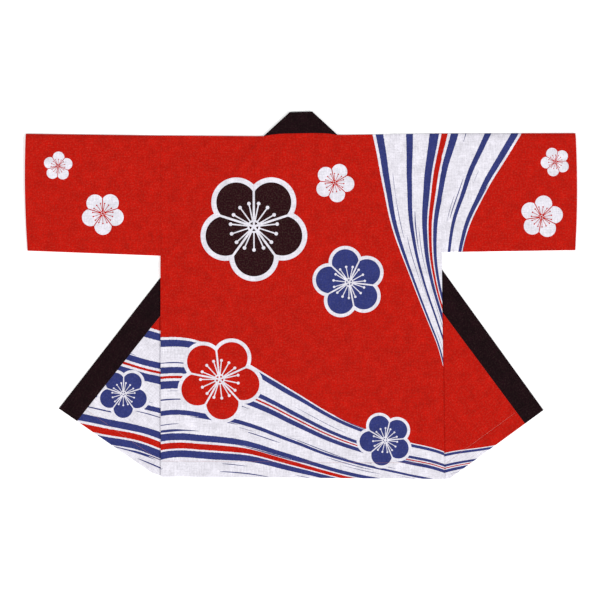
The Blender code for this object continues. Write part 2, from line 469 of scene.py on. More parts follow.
def mark_collar(piece):
    points = points_of(piece)
    flat = points[:, :2].copy()
    for half in HALVES:
        own = points[:, 0] * half.sign > 0
        mirrored = flat * (half.sign, 1)
        flap = own & is_flap(half, points)
        mirrored[flap] = unfolded(mirrored[flap], crease_of(half))
        leg = own & (points[:, 2] < BELOW_TOP_LAYER)
        mirrored[leg] = unfolded(mirrored[leg], neck_fold_of(half))
        flat[own] = (mirrored * (half.sign, 1))[own]
    write_print_place(piece, flat[:, 0], flat[:, 1])
    write_wrong_side(piece, np.zeros(len(piece.data.polygons)))


mark_back(back)
mark_collar(collar)
for half in HALVES:
    mark_front(fronts[half.name], half)
    mark_sleeve(sleeves[half.name], half)
    print("places written on the", half.name, "front and sleeve")

# %% [markdown]
# ## Closed seams
#
# The solids keep a hair's breadth between pieces that are sewn together, but sewn cloth leaves no
# slit for the floor to shine through. So the collar is pulled down to the back along the neck, the
# armhole's end of each sleeve to the body, and the edge of each turned-out front to its collar. The
# pull fades out within a few millimetres.

# %% Pull the sewn edges together
SEAM_GAP = 0.0003
SEAM_PULL = 0.00026
PULL_REACH = 0.003
NECK_RISE_Y = 0.3772
NECK_FLATNESS = 4


def neck_seam_y(x):
    """The seam at the back of the neck, which rises a little to its middle."""
    left, right = HALVES
    part = (x + left.neck_x) / (left.neck_x + right.neck_x)
    ends = left.neck_y + (right.neck_y - left.neck_y) * part
    rise = 1 - (2 * part - 1) ** NECK_FLATNESS
    return ends + (NECK_RISE_Y - (left.neck_y + right.neck_y) / 2) * rise


def pull(piece, distance, direction):
    """Moves a piece's points along a direction, most of all at distance 0 from its seam."""
    points = points_of(piece)
    share = np.where(distance < -PULL_REACH, 0, np.clip(1 - distance / PULL_REACH, 0, 1))
    points[:, :2] += np.outer(share * SEAM_PULL, direction)
    put_points(piece, points)
    print(piece.name, "pulled at", int((share > 0).sum()), "points")


collar_points = points_of(collar)
above_seam = collar_points[:, 1] - neck_seam_y(collar_points[:, 0]) - SEAM_GAP
above_seam[collar_points[:, 2] < BELOW_TOP_LAYER] = PULL_REACH
pull(collar, above_seam, (0, -1))

for half in HALVES:
    sleeve = sleeves[half.name]
    beyond_seam = np.abs(points_of(sleeve)[:, 0]) - half.arm_x - SEAM_GAP
    pull(sleeve, beyond_seam, (-half.sign, 0))

    front = fronts[half.name]
    flap_points = points_of(front)
    start, along, outward = collar_seam(half)
    inside_seam = (start - flap_points[:, :2] * (half.sign, 1)) @ outward - SEAM_GAP
    inside_seam[~is_flap(half, flap_points)] = PULL_REACH
    pull(front, inside_seam, outward * (half.sign, 1))

# %% [markdown]
# ## Doubled hems
#
# A hem is cloth turned in and sewn down, so it is thicker than the rest, and the row of stitches
# pulls a narrow valley along its upper edge. Only the points of the printed side move: they rise
# between the stitches and the edge and sink under the thread. On a front this stops at the side of
# the body, because there the back lies on it.

# %% Raise the hems and sink their stitches
HEM_RISE = 0.00025
STITCH_SINK = 0.00015
FLAT_UP = 0.95


def printed_top(piece, chosen):
    """True for the points of the chosen faces that look straight up."""
    middles, normals = faces_of(piece)
    up = (normals[:, 2] > FLAT_UP) & chosen(middles)
    top = np.zeros(len(piece.data.vertices), bool)
    for face, wanted in zip(piece.data.polygons, up):
        if wanted:
            top[list(face.vertices)] = True
    return top


def raise_hem(piece, line, sign, chosen):
    """Raises the hem beyond its stitches, and sinks it under them."""
    start, along, across = line_between(*line)
    points = points_of(piece)
    inward = (points[:, :2] * (sign, 1) - start) @ across
    rise = np.interp(inward, (-SEWN_WIDTH, 0, SEWN_WIDTH), (HEM_RISE, -STITCH_SINK, 0))
    points[:, 2] += rise * printed_top(piece, chosen)
    put_points(piece, points)
    print(piece.name, "hem raised by", HEM_RISE * 1000, "mm")


def on_open_flap(half):
    """Says which places lie on a turned-out front beyond the side of the body."""
    def chosen(middles):
        beyond = middles[:, 0] * half.sign > side_x(half, middles[:, 1]) + SEWN_WIDTH
        return beyond & is_flap(half, middles)
    return chosen


raise_hem(back, back_stitch_line(), 1, lambda middles: middles[:, 1] < 0)
for half in HALVES:
    raise_hem(fronts[half.name], flap_stitch_line(half), half.sign, on_open_flap(half))

# %% [markdown]
# ## Soft creases
#
# Cotton that was folded and laid out by hand keeps low, soft ridges. They run in from the
# underarms, fan out at the neck, cross the sleeves and rise from the hems. Each one is listed here,
# with its own length, width and height, and fades at both ends. The top fold of a sleeve
# isn't pressed sharp either: the cloth comes down to it in a soft roll. The same rise is added to
# every layer at a place, so the layers stay apart and the underside shows the ridges too.

# %% The creases
Ridge = namedtuple("Ridge", "x0 y0 x1 y1 rise width")
RIDGES = [Ridge(*sizes) for sizes in (
    # From the underarms into the back.
    (-0.345, 0.105, -0.215, 0.010, 0.0011, 0.030),
    (-0.330, 0.085, -0.250, -0.070, 0.0008, 0.026),
    (-0.350, 0.125, -0.180, 0.120, 0.0006, 0.024),
    (0.345, 0.115, 0.225, 0.000, 0.0010, 0.028),
    (0.335, 0.090, 0.275, -0.085, 0.0009, 0.024),
    (0.350, 0.135, 0.200, 0.150, 0.0006, 0.026),
    # Fanning out below the neck.
    (-0.085, 0.366, -0.185, 0.245, 0.0007, 0.026),
    (-0.030, 0.372, -0.055, 0.290, 0.0005, 0.020),
    (0.088, 0.370, 0.170, 0.262, 0.0007, 0.024),
    (0.035, 0.374, 0.048, 0.300, 0.0005, 0.018),
    # Long soft ones down and across the back.
    (-0.115, 0.040, -0.080, -0.230, 0.0006, 0.042),
    (0.105, 0.070, 0.150, -0.210, 0.0007, 0.046),
    (-0.260, -0.155, -0.060, -0.195, 0.0005, 0.030),
    (0.010, -0.105, 0.205, -0.085, 0.0005, 0.032),
    # Up from the hem of the back.
    (-0.262, -0.430, -0.248, -0.325, 0.0008, 0.022),
    (-0.148, -0.430, -0.160, -0.352, 0.0006, 0.020),
    (-0.022, -0.430, -0.030, -0.330, 0.0008, 0.026),
    (0.094, -0.430, 0.108, -0.365, 0.0005, 0.018),
    (0.212, -0.430, 0.196, -0.310, 0.0009, 0.024),
    # Along and across the sleeves.
    (-0.350, 0.300, -0.500, 0.338, 0.0007, 0.028),
    (-0.372, 0.140, -0.545, 0.205, 0.0009, 0.030),
    (-0.645, 0.265, -0.560, 0.236, 0.0006, 0.022),
    (-0.640, 0.150, -0.585, 0.160, 0.0005, 0.018),
    (0.352, 0.330, 0.470, 0.290, 0.0007, 0.026),
    (0.368, 0.145, 0.520, 0.185, 0.0009, 0.032),
    (0.645, 0.235, 0.548, 0.262, 0.0006, 0.024),
    (0.642, 0.330, 0.590, 0.322, 0.0005, 0.018),
    # Over the turned-out fronts.
    (-0.345, -0.130, -0.425, -0.245, 0.0007, 0.024),
    (-0.360, -0.400, -0.395, -0.300, 0.0006, 0.020),
    (-0.480, -0.325, -0.450, -0.255, 0.0005, 0.018),
    (0.348, -0.110, 0.430, -0.250, 0.0008, 0.026),
    (0.372, -0.398, 0.400, -0.310, 0.0006, 0.020),
    (0.470, -0.335, 0.455, -0.262, 0.0005, 0.018),
)]
RIDGE_END = 0.25
RIDGE_FADE = 0.8
SWELL = 0.00035
SWELL_LENGTHS = (0.23, 0.31)
SWELL_SHIFT = 1.0
ROLL_RISE = 0.0026
ROLL_WIDTH = 0.012
ROLL_START = 0.05
SLEEVE_LENGTH = 0.312
SLEEVE_DEPTH = 0.272


def ridge_rise(ridge, x, y):
    """One soft ridge: round across, fading towards both ends."""
    start, along, across = line_between((ridge.x0, ridge.y0), (ridge.x1, ridge.y1))
    length = math.dist((ridge.x0, ridge.y0), (ridge.x1, ridge.y1))
    offset = np.stack((x - start[0], y - start[1]), axis=1)
    part = np.clip((offset @ along) / length, 0, 1)
    beyond = offset - np.outer(part * length, along)
    distance = np.linalg.norm(beyond, axis=1) / ridge.width
    round_over = np.where(distance < 1, (1 + np.cos(math.pi * distance)) / 2, 0)
    full = RIDGE_END + (1 - RIDGE_END) * np.sin(math.pi * part) ** RIDGE_FADE
    return ridge.rise * round_over * full


def rolled_top(half, x, y):
    """The roll along a sleeve's top fold, which starts beyond the armhole."""
    out = x * half.sign - half.arm_x
    top = half.shoulder_y + (half.cuff_top_y - half.shoulder_y) * out / SLEEVE_LENGTH
    below = np.clip(top - y, 0, SLEEVE_DEPTH)
    steep = 1 - np.clip(1 - below / ROLL_WIDTH, 0, 1) ** 2
    gentle = 1 - below / SLEEVE_DEPTH
    return ROLL_RISE * steep * gentle * np.clip(out / ROLL_START, 0, 1)


def rise_at(x, y):
    """How far the cloth stands above its flat lay at places on the floor."""
    rise = SWELL * (1 + np.sin(2 * math.pi * x / SWELL_LENGTHS[0] + SWELL_SHIFT)
                    * np.cos(2 * math.pi * y / SWELL_LENGTHS[1])) / 2
    for ridge in RIDGES:
        rise = rise + ridge_rise(ridge, x, y)
    for half in HALVES:
        rise = rise + rolled_top(half, x, y)
    return rise


def crease(piece):
    """Lifts every point of a piece, and returns the height of its highest one."""
    points = points_of(piece)
    points[:, 2] += rise_at(points[:, 0], points[:, 1])
    put_points(piece, points)
    return points[:, 2].max()


SMOOTH_ANGLE = math.radians(40)
cloths = [back, collar, *fronts.values(), *sleeves.values()]
for piece in cloths:
    top = crease(piece)
    take(piece)
    bpy.ops.object.shade_smooth_by_angle(angle=SMOOTH_ANGLE)
    print(piece.name, "rises to", round(top * 1000, 2), "mm")

# %% [markdown]
# ## Nodes as short sums
#
# A finish made of nodes is a sum that is worked out at each point. Placing thirty nodes by hand
# hides that. So a small helper adds a node, feeds its sockets with numbers or with the outputs of
# others, and hands back its result. Each material below then reads like a recipe.

# %% Wiring helper
class Wiring:
    """Adds nodes to one tree and joins them."""

    def __init__(self, tree):
        self.tree = tree

    def add(self, kind, **settings):
        node = self.tree.nodes.new(kind)
        for name, value in settings.items():
            setattr(node, name, value)
        return node

    def feed(self, node, socket, value):
        if isinstance(value, bpy.types.NodeSocket):
            self.tree.links.new(value, node.inputs[socket])
        else:
            node.inputs[socket].default_value = value

    def feed_all(self, node, **values):
        """Feeds sockets by name, with _ for a space."""
        for name, value in values.items():
            self.feed(node, name.replace("_", " "), value)

    def math(self, operation, *values, clamp=False):
        node = self.add("ShaderNodeMath", operation=operation, use_clamp=clamp)
        for index, value in enumerate(values):
            self.feed(node, index, value)
        return node.outputs[0]

    def mix(self, share, below, above):
        """The colour below, covered by the colour above as far as share says."""
        node = self.add("ShaderNodeMix", data_type="RGBA")
        self.feed(node, 0, share)
        self.feed(node, 6, below)
        self.feed(node, 7, above)
        return node.outputs[2]

    def split(self, vector):
        node = self.add("ShaderNodeSeparateXYZ")
        self.feed(node, 0, vector)
        return node.outputs[0], node.outputs[1]

    def join(self, x, y):
        node = self.add("ShaderNodeCombineXYZ")
        self.feed(node, 0, x)
        self.feed(node, 1, y)
        return node.outputs[0]

    def noise(self, vector, scale, detail, roughness=0.5):
        node = self.add("ShaderNodeTexNoise")
        self.feed_all(node, Vector=vector, Scale=scale, Detail=detail, Roughness=roughness)
        return node.outputs[0]

    def ramp(self, value, stops):
        """A ramp of flat colours. Each stop says where its colour starts."""
        node = self.add("ShaderNodeValToRGB")
        node.color_ramp.interpolation = "CONSTANT"
        elements = node.color_ramp.elements
        elements[0].position, elements[1].position = stops[0][0], stops[-1][0]
        elements[0].color, elements[1].color = stops[0][1], stops[-1][1]
        for position, colour in stops[1:-1]:
            elements.new(position).color = colour
        self.feed(node, 0, value)
        return node.outputs

    def use(self, group, **values):
        """A copy of a group in this tree, with its sockets fed."""
        node = self.add("ShaderNodeGroup", node_tree=group)
        self.feed_all(node, **values)
        return node.outputs


# The sockets that hold more than a number.
SOCKET_KINDS = {"Place": "Vector", "Ground": "Color", "Color": "Color"}


def new_group(name, inputs, outputs):
    """An empty shader group. Returns its wiring, its input sockets and its output node."""
    group = bpy.data.node_groups.new(name, "ShaderNodeTree")
    for side, labels in (("INPUT", inputs), ("OUTPUT", outputs)):
        for label in labels:
            kind = "NodeSocket" + SOCKET_KINDS.get(label, "Float")
            group.interface.new_socket(name=label, in_out=side, socket_type=kind)
    wiring = Wiring(group)
    return wiring, wiring.add("NodeGroupInput").outputs, wiring.add("NodeGroupOutput")


# %% [markdown]
# ## Cotton weave
#
# Sheeting is a plain weave: each thread goes over one and under the next. Two waves multiplied give
# that chequer of bumps. Real yarn is uneven, so long thin noise along both directions makes slubs,
# and a cloudy noise makes the dye take unevenly. Between the threads some bare cotton shows as pale
# flecks. One group does this for the red and the black cloth, and it puts out heights and tints
# only.

# %% Weave group
THREAD_PITCH = 0.0009
SLUB_LENGTH = 0.030
SLUB_WIDTH = 0.0016
# A noise has a scale, a detail and, where it isn't 0.5, a roughness.
SLUB_NOISE = (1.0, 1.0)
CLOUD_NOISE = (42.0, 3.0, 0.55)
GRAIN_NOISE = (230.0, 2.0, 0.6)
FLECK_NOISE = (290.0, 1.0)
FLECK_LEVEL = 0.45
FLECK_CONTRAST = 2.0


def build_weave():
    wiring, given, result = new_group(
        "cotton weave", ["Place"], ["Threads", "Slubs", "Clouds", "Grain", "Flecks"]
    )
    x, y = wiring.split(given["Place"])
    turns = math.pi / THREAD_PITCH
    warp = wiring.math("SINE", wiring.math("MULTIPLY", x, turns))
    weft = wiring.math("SINE", wiring.math("MULTIPLY", y, turns))
    threads = wiring.math("MULTIPLY_ADD", wiring.math("MULTIPLY", warp, weft), 0.5, 0.5)
    slubs = []
    for width, height in ((SLUB_LENGTH, SLUB_WIDTH), (SLUB_WIDTH, SLUB_LENGTH)):
        slub = wiring.join(wiring.math("DIVIDE", x, width), wiring.math("DIVIDE", y, height))
        slubs.append(wiring.noise(slub, *SLUB_NOISE))
    bare = wiring.math("SUBTRACT", wiring.noise(given["Place"], *FLECK_NOISE), FLECK_LEVEL)
    wiring.feed_all(
        result,
        Threads=threads,
        Slubs=wiring.math("MULTIPLY", wiring.math("ADD", *slubs), 0.5),
        Clouds=wiring.noise(given["Place"], *CLOUD_NOISE),
        Grain=wiring.noise(given["Place"], *GRAIN_NOISE),
        Flecks=wiring.math("MULTIPLY", bare, FLECK_CONTRAST, clamp=True),
    )
    return result.id_data


WEAVE = build_weave()
print("weave pitch", THREAD_PITCH * 1000, "mm")

# %% [markdown]
# ## The print: flowing bands
#
# The cloth is printed in red, blue and the white of the bare cotton. The main motif is a stream of
# bands, like water in an old screen painting: white bands with blue edges, thin white lines outside
# them and thin red ones between. The stream's two edges are drawn as curves, and the share
# of the way from one edge to the other picks the colour. A little noise makes the bands swell and
# gives the brush its rough edge. Slits of blue open in the white, like the marks of dry bristles.

# %% Dyes
RED = (0.474, 0.0045, 0.0006, 1)
BLUE = (0.0280, 0.0370, 0.1720, 1)
WHITE = (0.760, 0.737, 0.810, 1)
BLACK = (0.0085, 0.0010, 0.0030, 1)
INK = (0.0190, 0.0012, 0.0040, 1)
UNDYED = (0.72, 0.66, 0.42, 1)
CLEAR = (*RED[:3], 0)
print("three printed dyes, on cotton of", [round(part, 2) for part in UNDYED[:3]])

# %% Stream group
# Each band of a stream, from one edge to the other, with its relative width.
HEM_BANDS = (
    (WHITE, 1.2), (BLUE, 3.4), (WHITE, 13.0), (BLUE, 3.6), (WHITE, 1.2), (RED, 3.0),
    (WHITE, 1.2), (BLUE, 3.4), (WHITE, 9.0), (BLUE, 2.4), (WHITE, 11.0), (BLUE, 3.6),
    (WHITE, 1.2), (RED, 1.4), (WHITE, 1.2), (BLUE, 3.2), (WHITE, 10.0), (BLUE, 3.4),
    (WHITE, 1.3),
)
SHOULDER_BANDS = (
    (WHITE, 1.3), (BLUE, 3.2), (WHITE, 9.5), (BLUE, 3.0), (WHITE, 7.0), (BLUE, 3.8),
    (WHITE, 1.2), (RED, 2.6), (WHITE, 1.2), (BLUE, 3.4), (WHITE, 11.0), (BLUE, 2.8),
    (WHITE, 8.0), (BLUE, 3.2), (WHITE, 1.3),
)
# How far a stream's first and last band stay inside its edges, as a share of its width.
STREAM_MARGIN = 0.01
SWELLING = 0.050
SWELLING_NOISE = (5.5, 1.0)
BRUSH_EDGE = 0.006
BRUSH_NOISE = (260.0, 2.0)
STREAK_LEVEL = 0.665
STREAK_NOISE = (1.0, 1.0)
STREAKS_ALONG = 4.0
STREAKS_ACROSS = 45.0
PALE = 0.4


def band_stops(bands):
    """The ramp's stops: clear outside the stream, and each band after the one before it."""
    total = sum(width for colour, width in bands)
    stops = [(0.0, CLEAR)]
    reached = STREAM_MARGIN
    for colour, width in bands:
        stops.append((reached, colour))
        reached += (1 - 2 * STREAM_MARGIN) * width / total
    return stops + [(reached, CLEAR)]


def build_stream(name, bands):
    wiring, given, result = new_group(
        name, ["Place", "Along", "Across", "Low", "High"], ["Color", "Mask"]
    )
    depth = wiring.math("SUBTRACT", given["High"], given["Low"])
    share = wiring.math("DIVIDE", wiring.math("SUBTRACT", given["Across"], given["Low"]), depth)
    slow = wiring.math("SUBTRACT", wiring.noise(given["Place"], *SWELLING_NOISE), 0.5)
    rough = wiring.math("SUBTRACT", wiring.noise(given["Place"], *BRUSH_NOISE), 0.5)
    swollen = wiring.math("MULTIPLY_ADD", slow, SWELLING, share)
    brushed = wiring.math("MULTIPLY_ADD", rough, BRUSH_EDGE, swollen)
    colour, mask = wiring.ramp(brushed, band_stops(bands))
    streak_place = wiring.join(
        wiring.math("MULTIPLY", given["Along"], STREAKS_ALONG),
        wiring.math("MULTIPLY", share, STREAKS_ACROSS),
    )
    streak = wiring.math("GREATER_THAN", wiring.noise(streak_place, *STREAK_NOISE), STREAK_LEVEL)
    green = wiring.add("ShaderNodeSeparateColor")
    wiring.feed(green, 0, colour)
    pale = wiring.math("GREATER_THAN", green.outputs[1], PALE)
    streaked = wiring.mix(wiring.math("MULTIPLY", streak, pale), colour, BLUE)
    wiring.feed_all(result, Color=streaked, Mask=mask)
    return result.id_data


HEM_FLOW = build_stream("stream along the hem", HEM_BANDS)
SHOULDER_FLOW = build_stream("stream from the shoulder", SHOULDER_BANDS)
print("bands:", len(HEM_BANDS), "along the hem and", len(SHOULDER_BANDS), "from the shoulder")

# %% [markdown]
# ## The print: plum blossoms
#
# Round five-petalled blossoms lie on the stream and on the plain red. One petal is a circle set off
# the middle. Folding the angle five times over repeats it all round, and folding it fifteen times
# over repeats the stamens, each a thin line with a dot.

# %% Blossom group
PETALS = 5
STAMENS = 15
PETAL_CENTRE = 0.60
PETAL_RADIUS = 0.40
PETAL_PARTING = 0.022
HEART_RADIUS = 0.13
HEART_RING = 0.7
STAMEN_REACH = 0.47
STAMEN_WIDTH = 0.013
STAMEN_DOT = 0.036


def folded_angle(wiring, angle, times):
    """The angle from the nearest of some spokes, which are evenly spaced all round."""
    turned = wiring.math("FRACT", wiring.math("MULTIPLY_ADD", angle, times / (2 * math.pi), 0.5))
    return wiring.math("MULTIPLY", wiring.math("SUBTRACT", turned, 0.5), 2 * math.pi / times)


def distance_to(wiring, x, y, centre):
    """The distance from (x, y) to (centre, 0)."""
    dx = wiring.math("SUBTRACT", x, centre)
    return wiring.math("SQRT", wiring.math("MULTIPLY_ADD", dx, dx, wiring.math("MULTIPLY", y, y)))


def build_blossom():
    wiring, given, result = new_group(
        "plum blossom", ["Place", "Centre X", "Centre Y", "Radius", "Turn", "Rim"],
        ["Outline", "Petals", "Lines"],
    )
    x, y = wiring.split(given["Place"])
    x = wiring.math("DIVIDE", wiring.math("SUBTRACT", x, given["Centre X"]), given["Radius"])
    y = wiring.math("DIVIDE", wiring.math("SUBTRACT", y, given["Centre Y"]), given["Radius"])
    reach = distance_to(wiring, x, y, 0.0)
    angle = wiring.math("ADD", wiring.math("ARCTAN2", y, x), given["Turn"])
    petal_angle = folded_angle(wiring, angle, PETALS)
    along = wiring.math("MULTIPLY", reach, wiring.math("COSINE", petal_angle))
    beside = wiring.math("MULTIPLY", reach, wiring.math("SINE", petal_angle))
    from_petal = distance_to(wiring, along, beside, PETAL_CENTRE)
    rim_radius = wiring.math("ADD", PETAL_RADIUS, given["Rim"])
    petal = wiring.math("LESS_THAN", from_petal, PETAL_RADIUS)
    outline = wiring.math("LESS_THAN", from_petal, rim_radius)
    inside = wiring.math("LESS_THAN", reach, PETAL_CENTRE)
    edge_angle = wiring.math("SUBTRACT", math.pi / PETALS, wiring.math("ABSOLUTE", petal_angle))
    from_edge = wiring.math("MULTIPLY", reach, wiring.math("SINE", edge_angle))
    parting = wiring.math("LESS_THAN", from_edge, PETAL_PARTING)
    stamen_angle = folded_angle(wiring, angle, STAMENS)
    stamen_side = wiring.math("MULTIPLY", reach, wiring.math("SINE", stamen_angle))
    line = wiring.math("LESS_THAN", wiring.math("ABSOLUTE", stamen_side), STAMEN_WIDTH)
    line = wiring.math("MULTIPLY", line, wiring.math("LESS_THAN", reach, STAMEN_REACH))
    from_dot = distance_to(wiring, reach, stamen_side, STAMEN_REACH)
    dot = wiring.math("LESS_THAN", from_dot, STAMEN_DOT)
    heart = wiring.math("LESS_THAN", reach, HEART_RADIUS)
    ring = wiring.math("LESS_THAN", reach, HEART_RADIUS * HEART_RING)
    lines = wiring.math("MAXIMUM", wiring.math("MAXIMUM", line, dot), heart)
    lines = wiring.math("SUBTRACT", lines, ring, clamp=True)
    lines = wiring.math("MAXIMUM", lines, parting)
    outline = wiring.math("MAXIMUM", outline, inside)
    petal = wiring.math("MAXIMUM", petal, inside)
    wiring.feed_all(result, Outline=outline, Petals=petal, Lines=lines)
    return result.id_data


BLOSSOM = build_blossom()
print("petals", PETALS, "stamens", STAMENS)

# %% [markdown]
# ## The whole print
#
# One stream follows the hem. It comes from the left front, runs across the back and thins out
# towards the right front. A second one falls from the right shoulder and slips round the right
# side. Their edges are short tables of places on the cloth, smoothed to curves. The blossoms are
# laid over them one by one, a white rim first, then the petals, then the fine lines.

# %% Layout of the print
PRINT_LOW = -0.70
PRINT_HIGH = 0.70
# The lower stream: at each x, its lower and its upper edge.
HEM_STREAM = (
    (-0.70, -0.700, -0.215), (-0.55, -0.580, -0.160), (-0.33, -0.475, -0.095),
    (-0.18, -0.462, -0.128), (-0.02, -0.470, -0.222), (0.12, -0.486, -0.300),
    (0.24, -0.500, -0.338), (0.34, -0.520, -0.366), (0.50, -0.600, -0.455), (0.70, -0.690, -0.560),
)
# The shoulder stream: at each y, its left and its right edge.
SHOULDER_STREAM = (
    (-0.70, 0.350, 0.360), (-0.36, 0.352, 0.372), (-0.25, 0.344, 0.388), (-0.15, 0.326, 0.392),
    (-0.06, 0.294, 0.384), (0.04, 0.254, 0.372), (0.14, 0.216, 0.388), (0.25, 0.186, 0.442),
    (0.38, 0.162, 0.520), (0.50, 0.140, 0.600), (0.70, 0.080, 0.690),
)
Blossom = namedtuple("Blossom", "x y radius turn rim petal_dye line_dye")
BLOSSOMS = [Blossom(*values) for values in (
    (-0.462, 0.186, 0.050, 0.30, 0.0, WHITE, RED),
    (-0.566, 0.296, 0.034, 1.00, 0.0, WHITE, RED),
    (0.592, 0.306, 0.034, 0.55, 0.0, WHITE, RED),
    (0.560, 0.178, 0.050, 1.10, 0.0, WHITE, RED),
    (0.078, 0.262, 0.046, 0.10, 0.0, WHITE, RED),
    (0.112, 0.030, 0.078, 0.75, 0.10, BLUE, WHITE),
    (-0.190, -0.196, 0.094, 0.20, 0.09, RED, WHITE),
    (0.196, -0.338, 0.060, 0.55, 0.11, BLUE, WHITE),
    (-0.520, -0.330, 0.056, 0.90, 0.12, BLUE, WHITE),
    (-0.110, 0.160, 0.116, 0.31, 0.10, INK, WHITE),
)]


def drawn_edge(wiring, value, points):
    """A curve through (place, height) points in metres. Returns the height at a place."""
    node = wiring.add("ShaderNodeFloatCurve")
    span = PRINT_HIGH - PRINT_LOW
    shares = [((a - PRINT_LOW) / span, (b - PRINT_LOW) / span) for a, b in points]
    curve = node.mapping.curves[0]
    curve.points[0].location, curve.points[1].location = shares[0], shares[-1]
    for share in shares[1:-1]:
        curve.points.new(*share)
    node.mapping.update()
    place = wiring.math("DIVIDE", wiring.math("SUBTRACT", value, PRINT_LOW), span)
    wiring.feed(node, "Value", place)
    return wiring.math("MULTIPLY_ADD", node.outputs[0], span, PRINT_LOW)


def lay_stream(wiring, flow, ground, place, along, across, table):
    low = drawn_edge(wiring, along, [(row[0], row[1]) for row in table])
    high = drawn_edge(wiring, along, [(row[0], row[2]) for row in table])
    colour, mask = wiring.use(flow, Place=place, Along=along, Across=across, Low=low, High=high)
    return wiring.mix(mask, ground, colour)


def lay_blossom(wiring, ground, place, blossom):
    outline, petals, lines = wiring.use(
        BLOSSOM, Place=place, Centre_X=blossom.x, Centre_Y=blossom.y, Radius=blossom.radius,
        Turn=blossom.turn, Rim=blossom.rim,
    )
    rimmed = wiring.mix(outline, ground, WHITE)
    filled = wiring.mix(petals, rimmed, blossom.petal_dye)
    return wiring.mix(wiring.math("MULTIPLY", lines, petals), filled, blossom.line_dye)


def build_print():
    wiring, given, result = new_group("festival print", ["Place", "Ground"], ["Color"])
    place = given["Place"]
    x, y = wiring.split(place)
    colour = lay_stream(wiring, SHOULDER_FLOW, given["Ground"], place, y, x, SHOULDER_STREAM)
    colour = lay_stream(wiring, HEM_FLOW, colour, place, x, y, HEM_STREAM)
    for blossom in BLOSSOMS:
        colour = lay_blossom(wiring, colour, place, blossom)
    wiring.feed(result, "Color", colour)
    return result.id_data


PRINT = build_print()
print("blossoms", len(BLOSSOMS))

# %% [markdown]
# ## The cloth's finishes
#
# Printed sheeting is matt, with a faint nap. Its wrong side shows the print paler, because the dye
# sits on the face. At each thread the colour is painted a little lighter on the crossing and darker
# in the dip, as painted shade. Slubs and clouds break up the flat colour, and the threads' and
# slubs' heights feed the bump. The black collar is dyed through and has no print.

# %% Cotton materials
WRONG_SIDE_PALER = 0.55
# How far a mask lightens and darkens the dye, for a depth of 1, and at any depth for the threads.
SLUB_CONTRAST = 1.6
# The threads' swing is painted shade: darker in the dips of the weave, lighter on its crossings.
THREAD_DIP_SHADE = 0.16
SLUB_HEIGHT = 0.8
BUMP_STRENGTH = 0.6
ROUGHNESS = 0.84
SLUB_ROUGHNESS = 0.12
SPECULAR = 0.08
NAP = 0.02
NAP_ROUGHNESS = 0.5


def new_material(name):
    material = bpy.data.materials.new(name)
    material.use_nodes = True
    material.node_tree.nodes.clear()
    wiring = Wiring(material.node_tree)
    surface = wiring.add("ShaderNodeBsdfPrincipled")
    output = wiring.add("ShaderNodeOutputMaterial")
    wiring.feed(output, "Surface", surface.outputs[0])
    return material, wiring, surface


def attribute(wiring, name, socket):
    return wiring.add("ShaderNodeAttribute", attribute_name=name).outputs[socket]


def tinted(wiring, colour, weave, depth):
    """The dye, made lighter and darker by the slubs, the clouds and the grain, and by painted shade
    in the dips between the threads.
    """
    swings = {
        "Slubs": SLUB_CONTRAST * depth, "Clouds": depth, "Grain": depth, "Threads": THREAD_DIP_SHADE,
    }
    shade = 1.0
    for mask, swing in swings.items():
        level = wiring.math("MULTIPLY_ADD", weave[mask], swing, 1 - swing / 2)
        shade = wiring.math("MULTIPLY", shade, level)
    scaled = wiring.add("ShaderNodeVectorMath", operation="SCALE")
    wiring.feed(scaled, 0, colour)
    wiring.feed(scaled, "Scale", shade)
    return scaled.outputs[0]


def weave_bump(wiring, surface, weave, thread_height):
    bump = wiring.add("ShaderNodeBump")
    height = wiring.math("MULTIPLY_ADD", weave["Slubs"], SLUB_HEIGHT, weave["Threads"])
    wiring.feed_all(bump, Height=height, Distance=thread_height, Strength=BUMP_STRENGTH)
    wiring.feed(surface, "Normal", bump.outputs[0])


def cotton_finish(name, depth, flecks, thread_height, printed):
    material, wiring, surface = new_material(name)
    place = attribute(wiring, "print_place", "Vector")
    weave = wiring.use(WEAVE, Place=place)
    if printed:
        colour = wiring.use(PRINT, Place=place, Ground=RED)[0]
        wrong = attribute(wiring, "wrong_side", "Fac")
        paler = wiring.mix(WRONG_SIDE_PALER, colour, WHITE)
        colour = wiring.mix(wrong, colour, paler)
    else:
        colour = BLACK
    bare = wiring.math("MULTIPLY", weave["Flecks"], flecks)
    colour = wiring.mix(bare, colour, UNDYED)
    wiring.feed_all(
        surface,
        Base_Color=tinted(wiring, colour, weave, depth),
        Roughness=wiring.math("MULTIPLY_ADD", weave["Slubs"], SLUB_ROUGHNESS, ROUGHNESS),
        Specular_IOR_Level=SPECULAR,
        Sheen_Weight=NAP,
        Sheen_Roughness=NAP_ROUGHNESS,
    )
    weave_bump(wiring, surface, weave, thread_height)
    return material


RED_COTTON = cotton_finish(
    "printed red cotton", depth=0.50, flecks=0.055, thread_height=0.00012, printed=True
)
BLACK_COTTON = cotton_finish(
    "black cotton", depth=1.30, flecks=0.020, thread_height=0.00015, printed=False
)


def dress(piece, material):
    """Gives a piece this one material."""
    piece.data.materials.clear()
    piece.data.materials.append(material)


for piece in cloths:
    dress(piece, BLACK_COTTON if piece is collar else RED_COTTON)
    print(piece.name, "wears", piece.data.materials[0].name)

# %% [markdown]
# ## The floor's finish
#
# The floor is a matt pale board. It glows a little, as a light table does, so that it stays white
# up to the cloth's edge without stronger lamps, which would bleach the red.

# %% Floor finish
LIGHT_TABLE = 0.25
FLOOR_SHADES = ((0.94, 0.94, 0.94, 1), (0.96, 0.96, 0.96, 1))
FLOOR_NOISE = (3.0, 3.0)
FLOOR_ROUGHNESS = 0.9
FLOOR_SPECULAR = 0.1


